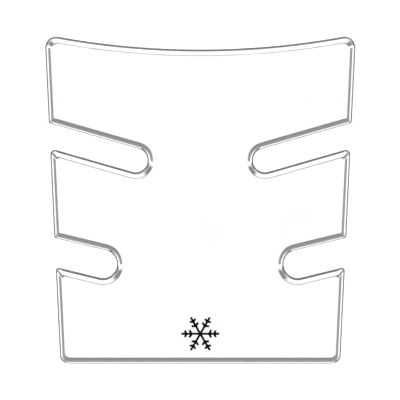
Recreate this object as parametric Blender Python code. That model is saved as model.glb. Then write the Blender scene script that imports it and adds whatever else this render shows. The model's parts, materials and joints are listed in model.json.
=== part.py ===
"""Clear stomp pad for a snowboard deck, lying face up on its release liner.

Run with: blender --background --python part.py

The pad is a laminate. From the floor up it is a clear film release liner, a layer of clear
adhesive, a clear carrier film, an ink mark printed on the film, and a clear grip body with a
rounded rim. All the layers share one outline: tapered sides, a hollowed front edge and two
slanted slots in each side. The liner stays down and everything above it lifts off it.

Units are metres, +Z is up, +Y points to the hollowed front edge, and the origin is in the
middle of the pad's outline, on the underside of the liner.
"""

import math
from typing import NamedTuple

import bmesh
import bpy
from mathutils import Vector

MM = 0.001

# Outline, measured from the straight rear edge
REAR_WIDTH = 108.9 * MM
SIDE_TAPER = math.radians(2.73)  # each side leans outwards by this much towards the front
MIDDLE_LENGTH = 122.1 * MM  # rear edge to the bottom of the hollow in the front edge
HOLLOW_RADIUS = 311.0 * MM
FRONT_CORNER_RADIUS = 4.3 * MM
REAR_CORNER_RADIUS = 3.4 * MM
CORNER_CREST_RADIUS = 2.4 * MM  # of the same corners where the rim meets the flat top
MOUTH_CREST_RADIUS = 1.2 * MM  # of the corners at the mouths of the slots, there too


class Slot(NamedTuple):
    """One slot in the right side. It runs outwards and forwards from its round end."""

    width: float
    slant: float
    end_x: float  # centre of the round end, from the middle line
    end_y: float  # centre of the round end, from the rear edge
    rear_mouth_radius: float
    front_mouth_radius: float


REAR_SLOT = Slot(10.8 * MM, math.radians(13.7), 37.8 * MM, 38.7 * MM, 1.3 * MM, 1.4 * MM)
FRONT_SLOT = Slot(9.2 * MM, math.radians(16.0), 25.1 * MM, 79.0 * MM, 1.9 * MM, 1.1 * MM)

# Layers, from the floor up
LAYER_GAP = 0.1 * MM
LINER_THICKNESS = 0.2 * MM
ADHESIVE_THICKNESS = 0.4 * MM
FILM_THICKNESS = 0.2 * MM
INK_THICKNESS = 0.1 * MM
BODY_THICKNESS = 2.4 * MM

# Rim of the grip body: an upright wall, then a tight nose arc, a flatter crown arc, and a short
# crest arc that levels out into the flat top
RIM_WIDTH = 2.8 * MM
NOSE_RADIUS = 1.7 * MM
LEAST_WALL_HEIGHT = 0.03 * MM  # the nose arc is tighter where less than this would be left
CREST_RADIUS = 2.5 * MM
SHOULDER_SLOPE = math.radians(40)  # steepness where the nose arc ends and the crown arc starts
CREST_SLOPE = math.radians(10)  # steepness where the crown arc ends and the crest arc starts

# Printed mark: a plain six-armed snow crystal
MARK_FROM_REAR = 11.6 * MM
MARK_WIDTH = 14.8 * MM
MARK_STROKE = 0.85 * MM
BRANCH_ANGLE = math.radians(60)
BRANCHES = ((3.4 * MM, 1.7 * MM), (5.3 * MM, 1.5 * MM))  # distance along the arm, length

# How finely the arcs are cut
CORNER_STEPS = 9
SLOT_END_STEPS = 20
HOLLOW_STEPS = 24
NOSE_STEPS = 7
CROWN_STEPS = 6
CREST_STEPS = 2

LINER_BASE = 0.0
ADHESIVE_BASE = LINER_BASE + LINER_THICKNESS + LAYER_GAP
FILM_BASE = ADHESIVE_BASE + ADHESIVE_THICKNESS + LAYER_GAP
INK_BASE = FILM_BASE + FILM_THICKNESS + LAYER_GAP
BODY_BASE = INK_BASE + INK_THICKNESS + LAYER_GAP


# ---------------------------------------------------------------- plane geometry


def direction(angle):
    return Vector((math.cos(angle), math.sin(angle)))


def arc(centre, radius, start, sweep, steps):
    """Points along an arc, both ends included. A positive sweep turns anticlockwise."""
    return [centre + direction(start + sweep * i / steps) * radius for i in range(steps + 1)]


def angle_of(vector):
    return math.atan2(vector.y, vector.x)


def short_turn(start, end):
    """The signed angle from start to end, the short way round."""
    return math.remainder(end - start, math.tau)


def crossing(point_a, direction_a, point_b, direction_b):
    """Where two lines cross, each given by a point and a direction."""
    along = (point_b - point_a).cross(direction_b) / direction_a.cross(direction_b)
    return point_a + direction_a * along


def fillet(before, corner, after, radius, steps):
    """The arc that rounds a corner between two straight edges."""
    to_before = (before - corner).normalized()
    to_after = (after - corner).normalized()
    half_angle = to_before.angle(to_after) / 2
    centre = corner + (to_before + to_after).normalized() * radius / math.sin(half_angle)
    tangent_length = radius / math.tan(half_angle)
    start = angle_of(corner + to_before * tangent_length - centre)
    end = angle_of(corner + to_after * tangent_length - centre)
    return arc(centre, radius, start, short_turn(start, end), steps)


def left_normal(along):
    return Vector((-along.y, along.x))


# ---------------------------------------------------------------- the shared outline


def corner_radius(foot_radius, crest_radius, inset):
    """A convex corner's radius on the way from the foot of the rim in to its crest."""
    return foot_radius + (crest_radius - foot_radius) * inset / RIM_WIDTH


def side_line(inset):
    """A point on the right side, at the rear edge, and the side's direction to the front."""
    along = direction(math.pi / 2 - SIDE_TAPER)
    return Vector((REAR_WIDTH / 2, 0.0)) + left_normal(along) * inset, along


def slot_mouth(slot, side, inset):
    """The slot's rear and front wall: where each meets the round end and the side line."""
    along = direction(slot.slant)
    centre = Vector((slot.end_x, slot.end_y))
    offset = left_normal(along) * (slot.width / 2 + inset)
    rear, front = centre - offset, centre + offset
    return rear, crossing(rear, along, *side), front, crossing(front, along, *side)


def slot_points(slot, inset, below, above):
    """One slot, from its rear mouth corner round its end to its front mouth corner."""
    rear, rear_corner, front, front_corner = slot_mouth(slot, side_line(inset), inset)
    centre = Vector((slot.end_x, slot.end_y))
    rear_radius = corner_radius(slot.rear_mouth_radius, MOUTH_CREST_RADIUS, inset)
    front_radius = corner_radius(slot.front_mouth_radius, MOUTH_CREST_RADIUS, inset)
    points = fillet(below, rear_corner, rear, rear_radius, CORNER_STEPS)
    points += arc(
        centre, slot.width / 2 + inset, slot.slant - math.pi / 2, -math.pi, SLOT_END_STEPS
    )
    points += fillet(front, front_corner, above, front_radius, CORNER_STEPS)
    return points


def front_corner_points(inset):
    """The rounded corner between the right side and the hollowed front edge."""
    radius = corner_radius(FRONT_CORNER_RADIUS, CORNER_CREST_RADIUS, inset)
    foot, along = side_line(inset + radius)
    hollow_centre = Vector((0.0, MIDDLE_LENGTH + HOLLOW_RADIUS))
    to_foot = foot - hollow_centre
    reach = HOLLOW_RADIUS + inset + radius
    middle = to_foot.dot(along)
    travel = -middle - math.sqrt(middle**2 - to_foot.length_squared + reach**2)
    centre = foot + along * travel
    start = -SIDE_TAPER
    end = angle_of(hollow_centre - centre)
    return arc(centre, radius, start, short_turn(start, end), CORNER_STEPS)


def half_outline(inset):
    """The right half, anticlockwise from the rear edge to the front edge."""
    foot, along = side_line(inset)
    middle_of_rear_edge = Vector((0.0, inset))
    rear_corner = crossing(middle_of_rear_edge, Vector((1.0, 0.0)), foot, along)
    far_along_side = foot + along * MIDDLE_LENGTH
    rear_radius = corner_radius(REAR_CORNER_RADIUS, CORNER_CREST_RADIUS, inset)
    points = fillet(middle_of_rear_edge, rear_corner, far_along_side, rear_radius, CORNER_STEPS)
    points += slot_points(REAR_SLOT, inset, rear_corner, far_along_side)
    points += slot_points(FRONT_SLOT, inset, rear_corner, far_along_side)
    points += front_corner_points(inset)
    return points


def hollow_points(start_point, inset):
    """The hollowed front edge between its two corners, without the corners' own points."""
    centre = Vector((0.0, MIDDLE_LENGTH + HOLLOW_RADIUS))
    start = angle_of(start_point - centre)
    sweep = 2 * (-math.pi / 2 - start)
    return arc(centre, HOLLOW_RADIUS + inset, start, sweep, HOLLOW_STEPS)[1:-1]


def mirrored(points):
    return [Vector((-point.x, point.y)) for point in reversed(points)]


def outline(inset=0.0):
    """The closed outline, anticlockwise, moved inwards by inset and centred on the origin."""
    right = half_outline(inset)
    points = right + hollow_points(right[-1], inset) + mirrored(right)
    return [point - Vector((0.0, OVERALL_LENGTH / 2)) for point in points]


OVERALL_LENGTH = max(point.y for point in half_outline(0.0))


# ---------------------------------------------------------------- the printed mark


def branch_points(at, length, edge):
    """A side branch of an arm that lies along +X, as the outline goes out to it and back."""
    along = direction(BRANCH_ANGLE)
    across = left_normal(along) * edge
    root = Vector((at, 0.0))
    arm_edge = Vector((0.0, edge)), Vector((1.0, 0.0))
    tip = root + along * length
    inner_root = crossing(root + across, along, *arm_edge)
    outer_root = crossing(root - across, along, *arm_edge)
    return [inner_root, tip + across, tip - across, outer_root]


def crystal_arm():
    """The outline of one arm along +X, clockwise from the notch before it to its tip and back."""
    edge = MARK_STROKE / 2
    upper = [Vector((edge / math.tan(math.radians(30)), edge))]
    for at, length in BRANCHES:
        upper += branch_points(at, length, edge)
    upper.append(Vector((MARK_WIDTH / 2, edge)))
    lower = [Vector((point.x, -point.y)) for point in upper]
    return lower[1:] + upper[:0:-1] + upper[:1]


def crystal_outline():
    """The six arms, anticlockwise, centred on the place where the mark is printed."""
    points = []
    for arm in range(6):
        turn = math.radians(60 * arm)
        for point in crystal_arm():
            points.append(direction(turn) * point.x + left_normal(direction(turn)) * point.y)
    return points


# ---------------------------------------------------------------- Blender objects


def clear_scene():
    for obj in list(bpy.data.objects):
        bpy.data.objects.remove(obj, do_unlink=True)


def make_collection(name):
    collection = bpy.data.collections.new(name)
    bpy.context.scene.collection.children.link(collection)
    return collection


def make_material(name, colour, roughness, transmission=0.0, alpha=1.0):
    material = bpy.data.materials.new(name)
    material.use_nodes = True
    shader = material.node_tree.nodes["Principled BSDF"]
    shader.inputs["Base Color"].default_value = (*colour, 1.0)
    shader.inputs["Roughness"].default_value = roughness
    shader.inputs["Metallic"].default_value = 0.0
    shader.inputs["Transmission Weight"].default_value = transmission
    shader.inputs["Alpha"].default_value = alpha
    material.diffuse_color = (*colour, alpha)
    return material


def add_empty(name, collection, parent=None, height=0.0):
    empty = bpy.data.objects.new(name, None)
    empty.empty_display_size = 10 * MM
    empty.location.z = height
    empty.parent = parent
    collection.objects.link(empty)
    return empty


def place(obj, collection, parent, material, base, y=0.0):
    """Links an object under its parent with its own origin at the underside of the piece."""
    obj.data.materials.append(material)
    obj.parent = parent
    parent_height = parent.location.z
    obj.location = (0.0, y, base - parent_height)
    collection.objects.link(obj)
    return obj


def flat_sheet(name, points, thickness):
    """A flat piece with straight sides: a filled curve, extruded by half its thickness."""
    curve = bpy.data.curves.new(name, "CURVE")
    curve.dimensions = "2D"
    curve.fill_mode = "BOTH"
    curve.extrude = thickness / 2
    spline = curve.splines.new("POLY")
    spline.points.add(len(points) - 1)
    for control, point in zip(spline.points, points):
        control.co = (point.x, point.y, 0.0, 1.0)
    spline.use_cyclic_u = True
    return bpy.data.objects.new(name, curve)


def crown_radius(nose_radius):
    """The radius that lets the three arcs of the rim add up to its width."""
    nose_width = nose_radius * (1 - math.sin(SHOULDER_SLOPE))
    crest_width = CREST_RADIUS * math.sin(CREST_SLOPE)
    crown_width = RIM_WIDTH - nose_width - crest_width
    return crown_width / (math.sin(SHOULDER_SLOPE) - math.sin(CREST_SLOPE))


def rim_rise(nose_radius):
    """How high the three arcs of the rim are together."""
    nose_rise = nose_radius * math.cos(SHOULDER_SLOPE)
    crown_rise = crown_radius(nose_radius) * (math.cos(CREST_SLOPE) - math.cos(SHOULDER_SLOPE))
    return nose_rise + crown_rise + CREST_RADIUS * (1 - math.cos(CREST_SLOPE))


def fitted_nose_radius():
    """The nose radius, limited like any fillet by the wall that it runs into."""
    rise_without_nose = rim_rise(0.0)
    rise_per_radius = (rim_rise(NOSE_RADIUS) - rise_without_nose) / NOSE_RADIUS
    room = BODY_THICKNESS - LEAST_WALL_HEIGHT - rise_without_nose
    return min(NOSE_RADIUS, room / rise_per_radius)


def rim_profile():
    """(inset, height) up the rim of the grip body, from its foot to the edge of its flat top."""
    upright, level = math.pi, math.pi / 2
    shoulder, crest = level + SHOULDER_SLOPE, level + CREST_SLOPE
    nose_radius = fitted_nose_radius()
    radius = crown_radius(nose_radius)
    crest_centre = Vector((RIM_WIDTH, BODY_THICKNESS - CREST_RADIUS))
    crown_centre = crest_centre - direction(crest) * (radius - CREST_RADIUS)
    nose_centre = crown_centre + direction(shoulder) * (radius - nose_radius)
    nose = arc(nose_centre, nose_radius, upright, shoulder - upright, NOSE_STEPS)
    crown = arc(crown_centre, radius, shoulder, crest - shoulder, CROWN_STEPS)
    top = arc(crest_centre, CREST_RADIUS, crest, level - crest, CREST_STEPS)
    return [Vector((0.0, 0.0)), *nose, *crown[1:], *top[1:]]


def lofted_body(name):
    """The grip body: the outline repeated up the rim, each ring further in, and capped."""
    mesh = bpy.data.meshes.new(name)
    shape = bmesh.new()
    rings = []
    for inset, height in rim_profile():
        ring = [shape.verts.new((point.x, point.y, height)) for point in outline(inset)]
        rings.append(ring)
    for lower, upper in zip(rings, rings[1:]):
        for i in range(len(lower)):
            shape.faces.new((lower[i - 1], lower[i], upper[i], upper[i - 1]))
    shape.faces.new(reversed(rings[0]))
    shape.faces.new(rings[-1])
    shape.to_mesh(mesh)
    shape.free()
    mesh.shade_smooth()
    mesh.set_sharp_from_angle(angle=math.radians(30))
    return bpy.data.objects.new(name, mesh)


# ---------------------------------------------------------------- the pieces


def make_release_liner(collection, parent):
    material = make_material("liner_film", (0.96, 0.97, 0.97), 0.15, 0.9, 0.35)
    liner = flat_sheet("release_liner", outline(), LINER_THICKNESS)
    return place(liner, collection, parent, material, LINER_BASE + LINER_THICKNESS / 2)


def make_adhesive_layer(collection, parent):
    material = make_material("clear_adhesive", (0.95, 0.95, 0.94), 0.30, 0.9, 0.35)
    adhesive = flat_sheet("adhesive_layer", outline(), ADHESIVE_THICKNESS)
    return place(adhesive, collection, parent, material, ADHESIVE_BASE + ADHESIVE_THICKNESS / 2)


def make_carrier_film(collection, parent):
    material = make_material("clear_film", (0.97, 0.97, 0.97), 0.10, 0.9, 0.35)
    film = flat_sheet("carrier_film", outline(), FILM_THICKNESS)
    return place(film, collection, parent, material, FILM_BASE + FILM_THICKNESS / 2)


def make_printed_mark(collection, parent):
    material = make_material("black_ink", (0.01, 0.01, 0.01), 0.45)
    mark = flat_sheet("printed_mark", crystal_outline(), INK_THICKNESS)
    mark_y = MARK_FROM_REAR - OVERALL_LENGTH / 2
    return place(mark, collection, parent, material, INK_BASE + INK_THICKNESS / 2, mark_y)


def make_clear_body(collection, parent):
    material = make_material("clear_polyurethane", (0.98, 0.98, 0.98), 0.05, 1.0, 0.25)
    return place(lofted_body("clear_pad"), collection, parent, material, BODY_BASE)


def main():
    clear_scene()
    collection = make_collection("snowboard_stomp_pad")
    base = add_empty("stomp_pad_base", collection)
    peel = add_empty("peel_off", collection, base, LINER_THICKNESS)
    make_release_liner(collection, base)
    make_adhesive_layer(collection, peel)
    make_carrier_film(collection, peel)
    make_printed_mark(collection, peel)
    make_clear_body(collection, peel)


main()
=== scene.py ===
# %% [markdown]
# # A clear snowboard stomp pad, seen over a lit floor
#
# The pad is a water-clear casting with a rounded rim, bonded to a printed film and to a layer of
# clear adhesive, and it lies on a clear release liner. Nothing in it has a colour of its own
# apart from the ink, so its looks come from how its rim bends the light. This lesson takes the
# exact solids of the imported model, closes the small gaps that the model leaves between bonded
# layers, gives each piece its finish, and lights the whole from below.

import json
import math

import bpy
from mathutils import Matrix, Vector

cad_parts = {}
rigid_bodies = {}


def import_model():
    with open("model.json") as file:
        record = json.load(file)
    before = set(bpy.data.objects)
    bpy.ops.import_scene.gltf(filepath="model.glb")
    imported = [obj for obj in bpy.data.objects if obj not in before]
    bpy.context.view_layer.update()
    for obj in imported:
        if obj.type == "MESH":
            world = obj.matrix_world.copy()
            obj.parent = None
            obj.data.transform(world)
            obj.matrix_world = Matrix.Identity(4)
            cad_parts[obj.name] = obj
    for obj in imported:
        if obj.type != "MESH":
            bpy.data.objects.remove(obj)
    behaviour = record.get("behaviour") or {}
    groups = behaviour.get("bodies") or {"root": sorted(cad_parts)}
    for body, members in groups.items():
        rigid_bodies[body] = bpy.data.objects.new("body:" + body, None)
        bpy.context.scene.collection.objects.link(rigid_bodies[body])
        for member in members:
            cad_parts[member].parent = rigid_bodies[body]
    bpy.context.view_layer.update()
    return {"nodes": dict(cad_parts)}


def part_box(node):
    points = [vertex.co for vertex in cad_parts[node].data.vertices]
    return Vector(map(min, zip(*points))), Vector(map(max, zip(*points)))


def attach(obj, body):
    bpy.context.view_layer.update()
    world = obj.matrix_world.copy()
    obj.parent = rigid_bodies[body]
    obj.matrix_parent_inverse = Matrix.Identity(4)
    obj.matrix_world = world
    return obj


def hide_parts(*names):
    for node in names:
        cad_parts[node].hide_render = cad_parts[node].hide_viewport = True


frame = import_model()
print("nodes:", sorted(frame["nodes"]))

# %% [markdown]
# ## Shader maths as plain arithmetic
#
# A finish is a small formula, and a formula is easier to read as `1 - mask` than as a row of
# Math nodes. This class wraps one socket and adds a Math node for each sign that is used on it.

# %% A socket that does arithmetic
class Wire:
    """One output socket of a node tree, with Python's arithmetic written on it."""

    def __init__(self, tree, socket):
        self.tree = tree
        self.socket = socket

    def maths(self, operation, *terms):
        inputs = dict(enumerate(terms))
        return add_node(self.tree, "ShaderNodeMath", {"operation": operation}, inputs)

    def __add__(self, other):
        return self.maths("ADD", self, other)

    def __sub__(self, other):
        return self.maths("SUBTRACT", self, other)

    def __mul__(self, other):
        return self.maths("MULTIPLY", self, other)

    def __truediv__(self, other):
        return self.maths("DIVIDE", self, other)

    def __pow__(self, other):
        return self.maths("POWER", self, other)

    def __rsub__(self, other):
        return self.maths("SUBTRACT", other, self)

    def __rtruediv__(self, other):
        return self.maths("DIVIDE", other, self)

    def __rpow__(self, other):
        return self.maths("POWER", other, self)

    __radd__ = __add__
    __rmul__ = __mul__

    def __neg__(self):
        return 0 - self

    def __abs__(self):
        return self.maths("ABSOLUTE", self)

    def at_least(self, other):
        return self.maths("MAXIMUM", self, other)


# %% [markdown]
# Every other node comes from one function. It sets what kind of node it is first, because the
# sockets of a Math or a Mix node depend on that, and then fills the sockets.

# %% One way to make a node
def add_node(tree, kind, settings=None, inputs=None, output=None):
    """Makes a node and returns the Wire of its output, the first one by default, if it has any."""
    node = tree.nodes.new(kind)
    for name, value in (settings or {}).items():
        setattr(node, name, value)
    for name, value in (inputs or {}).items():
        socket = named_socket(node.inputs, name)
        if isinstance(value, Wire):
            tree.links.new(value.socket, socket)
        else:
            socket.default_value = value
    if node.outputs:
        return Wire(tree, named_socket(node.outputs, output or 0))


def named_socket(sockets, name):
    """The socket in use that has this name, or this place among those in use."""
    in_use = [socket for socket in sockets if socket.enabled]
    if isinstance(name, int):
        return in_use[name]
    return next(socket for socket in in_use if socket.name == name)


# %% [markdown]
# Soft-edged masks turn up in the finishes and in the lighting: 0 below one value, 1 above
# another, and smooth in between. A band is one such step up and one step down. A mask then says
# where one colour gives way to another.

# %% Soft steps, bands and mixed colours
def step_up(value, start, end):
    return add_node(
        value.tree,
        "ShaderNodeMapRange",
        {"interpolation_type": "SMOOTHSTEP"},
        {"Value": value, "From Min": start, "From Max": end},
    )


def step_down(value, start, end):
    return 1 - step_up(value, start, end)


def band(value, start, full, fade, end):
    return step_up(value, start, full) * step_down(value, fade, end)


def mix_colours(mask, plain, marked):
    """The plain colour where the mask is 0, and the marked one where it is 1."""
    plain, marked = (c if isinstance(c, Wire) else (*c, 1.0) for c in (plain, marked))
    inputs = {"Factor": mask, "A": plain, "B": marked}
    return add_node(mask.tree, "ShaderNodeMix", {"data_type": "RGBA"}, inputs)


# %% [markdown]
# ## Copies of the exact solids
#
# All five layers were cut to one outline, so redrawing it would only add errors. Each visual
# layer starts as a copy of its exact solid. The solid is stored as loose triangles, so its
# doubles are merged and its flat triangles joined before anything is edited by hand.

# %% Copy a solid for editing
def only(obj):
    """Leaves this object as the one that operators act on."""
    bpy.ops.object.select_all(action="DESELECT")
    obj.select_set(True)
    bpy.context.view_layer.objects.active = obj


def editable_copy(node, name):
    obj = frame["nodes"][node].copy()
    obj.data = frame["nodes"][node].data.copy()
    obj.name = obj.data.name = name
    obj.data.materials.clear()
    bpy.context.scene.collection.objects.link(obj)
    obj.parent = None
    only(obj)
    bpy.ops.object.mode_set(mode="EDIT")
    bpy.ops.mesh.select_all(action="SELECT")
    bpy.ops.mesh.remove_doubles(threshold=1e-6)
    bpy.ops.mesh.dissolve_limited(angle_limit=math.radians(0.2))
    bpy.ops.object.mode_set(mode="OBJECT")
    print(name, "has", len(obj.data.polygons), "faces after merging")
    return obj


# %% [markdown]
# ## Moving a face by hand
#
# In edit mode a face is clicked and dragged. In code it is found by where it points, and then
# the same move operator is run on it.

# %% Slide the top or the underside of a layer
def pick_faces(obj, wanted):
    """Selects the faces for which wanted(face) is true, in edit mode's own selection."""
    bpy.ops.object.mode_set(mode="EDIT")
    bpy.ops.mesh.select_mode(type="FACE")
    bpy.ops.mesh.select_all(action="DESELECT")
    bpy.ops.object.mode_set(mode="OBJECT")
    for face in obj.data.polygons:
        face.select = wanted(face)
    bpy.ops.object.mode_set(mode="EDIT")


def slide_level(obj, facing, height):
    """Moves the flat level of obj that faces up (1) or down (-1) to this height."""
    only(obj)
    pick_faces(obj, lambda face: face.normal.z * facing > 0.999)
    bpy.ops.object.mode_set(mode="OBJECT")
    now = next(face.center.z for face in obj.data.polygons if face.select)
    bpy.ops.object.mode_set(mode="EDIT")
    bpy.ops.transform.translate(value=(0.0, 0.0, height - now))
    bpy.ops.object.mode_set(mode="OBJECT")
    print(f"{obj.name}: level at {now * 1000:.2f} mm is now at {height * 1000:.3f} mm")


# %% [markdown]
# ## The clear grip body
#
# On the real pad this is polyurethane poured onto the printed film, where it domes over by
# itself and levels out to a flat top. It could be swept along its outline, but the exact solid
# already has the outline and the rounded rim. What is left to do by hand is to lower the
# underside onto the print, and to shade the rim smooth, because a facet would break up the light.
# Smooth shading alone would also tilt the edge of the big flat top, and the whole top would bend
# the view a little. Weighted normals let the largest face win, so the top stays truly flat.

# %% Shape the grip body
TOUCH = 2e-6  # how near two bonded layers come, in metres

film_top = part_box("carrier_film")[1].z
ink_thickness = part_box("printed_mark")[1].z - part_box("printed_mark")[0].z
body_underside = film_top + ink_thickness + 2 * TOUCH

grip_body = editable_copy("clear_pad", "grip_body")
slide_level(grip_body, -1, body_underside)
bpy.ops.object.shade_smooth_by_angle(angle=math.radians(30))
bpy.ops.object.modifier_add(type="WEIGHTED_NORMAL")
flat_top = grip_body.modifiers[-1]
flat_top.keep_sharp = True
bpy.ops.object.modifier_apply(modifier=flat_top.name)
print("grip body:", len(grip_body.data.polygons), "faces")

# %% [markdown]
# ## The layers under it
#
# The film carries the print. The adhesive under it is what holds the pad to the deck, and the
# liner covers the adhesive until then. Each sheet is the exact one. The undersides of the film
# and the adhesive are lowered to touch the layer below, because the real ones are pressed
# together.

# %% Shape the film, the adhesive and the liner
film = editable_copy("carrier_film", "film_sheet")
adhesive = editable_copy("adhesive_layer", "adhesive_sheet")
liner = editable_copy("release_liner", "liner_sheet")
slide_level(film, -1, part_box("adhesive_layer")[1].z + TOUCH)
slide_level(adhesive, -1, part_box("release_liner")[1].z + TOUCH)

# %% [markdown]
# ## The printed mark
#
# The ink is a thin flat shape on top of the film. The exact solid is dropped onto the film by
# the width of the gap, so that it is printed on it and doesn't hover.

# %% Lay the ink on the film
mark = editable_copy("printed_mark", "ink_mark")
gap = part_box("printed_mark")[0].z - film_top
bpy.ops.object.mode_set(mode="EDIT")
bpy.ops.mesh.select_all(action="SELECT")
bpy.ops.transform.translate(value=(0.0, 0.0, TOUCH - gap))
bpy.ops.object.mode_set(mode="OBJECT")
print(f"ink lowered by {gap * 1000:.2f} mm")

# %% [markdown]
# ## Clear polyurethane
#
# Cast polyurethane bends light about as much as glass does. Its skin is as smooth as glass too,
# but a casting is never quite even, so its tint drifts very slightly over a few centimetres.

# %% The clear finish
def new_tree(name):
    material = bpy.data.materials.new(name)
    material.use_nodes = True
    material.node_tree.nodes.clear()
    return material, material.node_tree


def show(tree, shader):
    add_node(tree, "ShaderNodeOutputMaterial", inputs={"Surface": shader})


def place_on(tree):
    """Where a point is on the object, in metres."""
    return add_node(tree, "ShaderNodeTexCoord", output="Object")


def cloudiness(tree, per_metre):
    """A soft random pattern from 0 to 1, with this many clouds in a metre."""
    return add_node(
        tree,
        "ShaderNodeTexNoise",
        inputs={"Vector": place_on(tree), "Scale": per_metre, "Detail": 3.0},
        output="Fac",
    )


def clear_finish(name, tint, cloud_tint, refraction_index):
    material, tree = new_tree(name)
    clouds = cloudiness(tree, 18.0)
    shader = add_node(
        tree,
        "ShaderNodeBsdfPrincipled",
        inputs={
            "Base Color": mix_colours(clouds, tint, cloud_tint),
            "Roughness": 0.0,
            "IOR": refraction_index,
            "Transmission Weight": 1.0,
        },
    )
    show(tree, shader)
    return material


polyurethane = clear_finish("clear polyurethane", (1.0, 1.0, 1.0), (0.985, 0.99, 0.985), 1.5)
print("clear finish:", polyurethane.name)

# %% [markdown]
# ## Where two layers are bonded
#
# Light that passes from the casting into the film meets no air, so it isn't bent or mirrored
# there. If each layer were glass on its own, every hidden joint would shine like a window.
# Bonded faces are therefore plain see-through, and the film and the adhesive add a trace of
# haze.
#
# Light that runs flat along the pad is trapped in it, and crosses the adhesive again and again
# at a slant. On the real pad a little of it is scattered at each pass, and that makes the rim
# glow grey in low views instead of black. So the adhesive's haze grows with the slant at which
# it is looked through, and straight down it stays clear.

# %% The bonded finish
def bonded_finish(name, haze_colour, haze_on_faces, haze_on_edge, haze_when_slanting=0.0):
    """See-through, with a haze that is stronger on the cut edge than on the flat faces."""
    material, tree = new_tree(name)
    normal = add_node(tree, "ShaderNodeTexCoord", output="Normal")
    upright = abs(add_node(tree, "ShaderNodeSeparateXYZ", inputs={0: normal}, output="Z"))
    edge = step_down(upright, 0.2, 0.6)
    slant = add_node(tree, "ShaderNodeLayerWeight", output="Facing")
    slanting = haze_when_slanting * step_up(slant, 0.2, 0.4) * (1 - edge)
    haze = haze_on_faces * cloudiness(tree, 40.0) + haze_on_edge * edge + slanting
    lighter = tuple(min(1.0, 1.08 * part) for part in haze_colour)
    cloudy_colour = mix_colours(cloudiness(tree, 25.0), haze_colour, lighter)
    milky = add_node(
        tree, "ShaderNodeBsdfPrincipled", inputs={"Base Color": cloudy_colour, "Roughness": 0.5}
    )
    open_face = add_node(tree, "ShaderNodeBsdfTransparent")
    both = add_node(tree, "ShaderNodeMixShader", inputs={0: haze, 1: open_face, 2: milky})
    show(tree, both)
    return material


bond = bonded_finish("bonded face", (0.95, 0.96, 0.96), 0.0, 0.0)
film_finish = bonded_finish("clear film", (0.9, 0.92, 0.93), 0.01, 0.25)
adhesive_finish = bonded_finish("clear adhesive", (0.93, 0.92, 0.9), 0.015, 0.35, 0.9)
print("bonded finishes:", bond.name, film_finish.name, adhesive_finish.name)

# %% [markdown]
# ## Liner film and ink
#
# The liner is a siliconed polyester film with air on both sides of it, so it is clear in the way
# that a window is. Only its cut edge shows, as a fine grey line, and that is how one finds it
# once the pad is off. That line is painted shade: the cut edge is given a near-black colour. The
# ink is a dense black that lets nothing through. The resin wets it, so it has no gloss of its own.

# %% The liner's and the ink's finish
liner_finish = clear_finish("liner film", (0.99, 0.995, 0.995), (0.975, 0.985, 0.99), 1.45)
# The liner's cut edge is painted near black: painted shade for the dark line of a clear edge.
liner_edge_painted_shade = bonded_finish("cut edge of the liner, painted dark as shade", (0.05, 0.055, 0.06), 0.0, 1.0)
adhesive_skin = clear_finish("adhesive skin", (1.0, 1.0, 1.0), (0.985, 0.985, 0.975), 1.5)

ink, ink_tree = new_tree("black ink")
ink_colour = mix_colours(cloudiness(ink_tree, 900.0), (0.001, 0.001, 0.001), (0.004, 0.004, 0.005))
ink_shader = add_node(
    ink_tree,
    "ShaderNodeBsdfPrincipled",
    inputs={"Base Color": ink_colour, "Roughness": 0.9, "Specular IOR Level": 0.0},
)
show(ink_tree, ink_shader)
print("liner, adhesive skin and ink are ready")

# %% [markdown]
# ## Which face gets which finish
#
# The casting meets air on its top and rim and is bonded below. The adhesive is bonded above and
# meets the air, or the liner, below. The liner is clear on its faces, and its cut edge is painted
# dark grey as painted shade. So each of these has two finishes, chosen by which way a face points.

# %% Give the pieces their finishes
def finish(obj, main, second=None, is_second=lambda face: False):
    obj.data.materials.clear()
    obj.data.materials.append(main)
    if second:
        obj.data.materials.append(second)
    for face in obj.data.polygons:
        face.material_index = int(is_second(face))
    print(obj.name, "faces of its second finish:", sum(f.material_index for f in obj.data.polygons))


finish(grip_body, polyurethane, bond, lambda face: face.normal.z < -0.9)
finish(film, film_finish)
finish(adhesive, adhesive_skin, adhesive_finish, lambda face: face.normal.z > -0.9)
# The liner's cut edge gets the painted shade.
finish(liner, liner_finish, liner_edge_painted_shade, lambda face: abs(face.normal.z) < 0.5)
finish(mark, ink)

# %% [markdown]
# ## The floor
#
# Clear things are often shot on a lit floor: a sheet of clear acrylic with the light under it.
# A pane that mirrored the room would double the pad in low views, so this one is anti-glare. It
# lets the light through straight and adds only a trace of haze. Its edges lie outside every
# view.

# %% A pale, lit floor
FLOOR_SIZE = 12.0
FLOOR_THICKNESS = 0.004
FLOOR_GAP = 5e-5  # between the liner and the floor, in metres

bpy.ops.object.select_all(action="DESELECT")
bpy.ops.mesh.primitive_cube_add(
    size=1.0,
    location=(0.0, 0.0, -FLOOR_THICKNESS / 2),
    scale=(FLOOR_SIZE, FLOOR_SIZE, FLOOR_THICKNESS),
)
floor = bpy.context.object
floor.name = "lit_floor"
bpy.ops.object.mode_set(mode="EDIT")
bpy.ops.mesh.bevel(offset=FLOOR_THICKNESS / 5, segments=2, affect="EDGES")
bpy.ops.transform.translate(value=(0.0, 0.0, -FLOOR_GAP))
bpy.ops.object.mode_set(mode="OBJECT")
bpy.ops.object.transform_apply(location=True, scale=True)
floor.data.materials.append(bonded_finish("anti-glare floor", (0.96, 0.96, 0.95), 0.03, 0.2))
print("floor:", FLOOR_SIZE, "m wide")

# %% [markdown]
# ## Light from below, with cards in it
#
# A clear rim is invisible when the same white comes from everywhere. Photographers shape it
# with cards: the rim bends the line of sight, more where it is steeper, so a card that stands
# outside the picture shows up in the rim as a band. The world here plays that part. A direction
# is turned into the place (across, ahead) where it meets an imaginary floor one unit below, so a
# card is drawn there as simply as on paper. Left and right are alike, so across has no sign.

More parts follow.
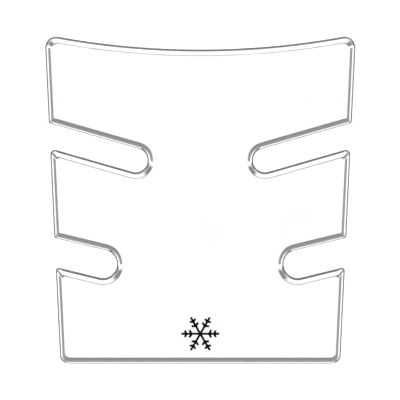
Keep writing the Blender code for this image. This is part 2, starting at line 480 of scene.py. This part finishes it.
# %% Directions as places on the floor below
world = bpy.data.worlds.new("lit floor")
bpy.context.scene.world = world
world.use_nodes = True
sky = world.node_tree
sky.nodes.clear()

ray = add_node(sky, "ShaderNodeTexCoord", output="Generated")
x, y, z = (add_node(sky, "ShaderNodeSeparateXYZ", inputs={0: ray}, output=a) for a in "XYZ")
depth = (-z).at_least(0.001)
across = abs(x) / depth
ahead = y / depth
away = (across * across + ahead * ahead) ** 0.5
turn = ahead / away.at_least(1e-4)  # 1 towards +Y, 0 to the sides, -1 towards -Y
print("world nodes so far:", len(sky.nodes))


# %% [markdown]
# Each line of the rim is one card:
#
# - a half ring ahead draws the wide grey band on every rim that faces back, and reaches round to
#   the sides, where it draws a narrower band;
# - a black ring further out draws the thin line along the outer edge, where the rim is
#   steepest, and a window cut out of it ahead leaves a white gap between band and line;
# - two wedges behind shade the corners and the ends of the slots, and two dark shoulders beside
#   them thicken the outer line there;
# - a thin strip behind draws the faint crease where a forward rim levels out into the top;
# - a dark patch straight above keeps the ceiling from shining in the flat top and the ink.

# %% Cut the cards
def angle(degrees):
    """How far from the middle a direction this far from straight down meets the floor."""
    return math.tan(math.radians(degrees))


def ellipse(degrees_across, degrees_ahead):
    """Below 1 inside an ellipse around straight down, and above 1 outside it."""
    half_across, half_ahead = angle(degrees_across), angle(degrees_ahead)
    return ((across / half_across) ** 2 + (ahead / half_ahead) ** 2) ** 0.5


def ring(*degrees):
    """A ring around straight down, given as start, full, fade and end."""
    return band(away, *(angle(value) for value in degrees))


half_ring = (
    step_up(ellipse(6.8, 4.1), 0.95, 1.08)
    * step_down(ellipse(15.6, 21.2), 0.97, 1.05)
    * step_up(ahead, -0.014, -0.004)
)
window_ahead = step_up(turn, 0.88, 0.955) * step_down(away, angle(32), angle(35))
outer_ring = (
    step_up(ellipse(23.5, 18.5), 0.97, 1.04)
    * step_down(away, angle(58), angle(62))
    * (1 - window_ahead)
)
shoulders = band(-turn, 0.1, 0.25, 0.6, 0.75) * ring(17, 18.5, 30, 34)
wedges = band(-turn, 0.24, 0.46, 0.74, 0.93) * ring(2.5, 4, 13, 22)
crease_strip = (
    step_up(-turn, 0.6, 0.85)
    * (1 - 0.25 * step_up(-turn, 0.94, 1.0))
    * ring(1.6, 2.0, 4.2, 4.8)
)
ceiling = step_up(z, 0.9, 0.97)
print("world nodes with cards:", len(sky.nodes))

# %% [markdown]
# The cards are laid over the white one after the other, each with its own grey. The half ring is
# a little lighter at the sides than ahead. The white is brighter than the picture can show, so
# that the clear pad, which takes a little of the light, is as white as the floor.

# %% Light the world
WHITE = (1.22, 1.22, 1.22)
RING_AT_SIDES = (0.33, 0.3, 0.305)
RING_AHEAD = (0.265, 0.24, 0.245)

ring_colour = mix_colours(step_up(turn, 0.3, 0.9), RING_AT_SIDES, RING_AHEAD)
glow = WHITE
for card, colour in (
    (half_ring, ring_colour),
    (wedges, (0.24, 0.21, 0.21)),
    (crease_strip, (0.1, 0.1, 0.1)),
    (outer_ring.at_least(shoulders), (0.02, 0.02, 0.02)),
    (ceiling, (0.05, 0.05, 0.05)),
):
    glow = mix_colours(card, glow, colour)

background = add_node(sky, "ShaderNodeBackground", inputs={"Color": glow})
add_node(sky, "ShaderNodeOutputWorld", inputs={"Surface": background})
bpy.context.scene.view_settings.view_transform = "Standard"
print("world nodes in all:", len(sky.nodes))

# %% [markdown]
# ## Camera
#
# The pad is seen from straight above through a long lens, so that its sides stay parallel.

# %% Place the camera
FRAME_WIDTH = 0.1555  # how much of the floor the picture shows, in metres
LENS = 1000.0  # in millimetres
OFF_MIDDLE = -0.00012  # the pad sits this much right of the picture's middle
AHEAD_OF_MIDDLE = 0.00003  # and this much nearer to its lower edge

camera_data = bpy.data.cameras.new("camera")
camera_data.lens = LENS
camera = bpy.data.objects.new("camera", camera_data)
bpy.context.scene.collection.objects.link(camera)
distance = FRAME_WIDTH * LENS / camera_data.sensor_width
camera.location = (OFF_MIDDLE, AHEAD_OF_MIDDLE, distance)
bpy.context.scene.camera = camera
print(f"camera {distance:.2f} m above the floor")

# %% [markdown]
# ## Hand over
#
# Each visual piece rides the body that carries its solid: the liner stays on the floor, and
# everything above it lifts off with the pad.

# %% Tie the pieces to their bodies
for piece, node, body, slot in (
    (grip_body, "clear_pad", "pad", "clear_polyurethane"),
    (mark, "printed_mark", "pad", "black_ink"),
    (film, "carrier_film", "pad", "clear_film"),
    (adhesive, "adhesive_layer", "pad", "clear_adhesive"),
    (liner, "release_liner", "liner", "liner_film"),
):
    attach(piece, body)
    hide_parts(node)
